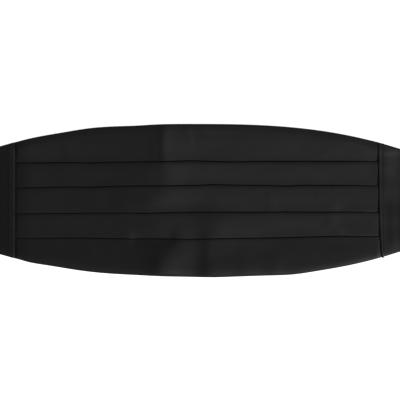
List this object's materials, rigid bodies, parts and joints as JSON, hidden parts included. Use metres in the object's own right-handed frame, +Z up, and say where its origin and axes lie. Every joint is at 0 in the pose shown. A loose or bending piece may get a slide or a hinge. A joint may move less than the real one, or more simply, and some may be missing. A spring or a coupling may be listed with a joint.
{
  "type": "cummerbund",
  "caption": "Pleated satin cummerbund laid out flat: upward-facing folds across the front, tapering wings, elastic straps, a slide, and a hook and ring to close it.",
  "frame": {"origin": "centre of the whole garment as it lies, on the surface beneath it", "axes": "+Y towards the upper edge of the pleated front, +X towards the wearer's left along the garment, +Z up out of the front"},
  "size_m": [0.8687, 0.127, 0.0066],
  "materials": {
    "satin": "black satin with a soft sheen",
    "elastic": "black ribbed elastic webbing",
    "enamel": "black enamel"
  },
  "bodies": {
    "garment": {"front_pleats": "satin", "wing_left": "satin", "wing_right": "satin", "strap_left": "elastic", "strap_right": "elastic", "slide": "enamel"},
    "ring": {"ring": "enamel"},
    "hook": {"hook": "enamel"}
  },
  "joints": [
    {"name": "ring_swing", "type": "hinge", "parent": "garment", "child": "ring", "pos_m": [-0.4214, 0, 0.0023], "axis": [0, 1, 0], "range_deg": [0, 170]},
    {"name": "hook_swing", "type": "hinge", "parent": "garment", "child": "hook", "pos_m": [0.415, 0, 0.004], "axis": [0, -1, 0], "range_deg": [0, 150]}
  ]
}
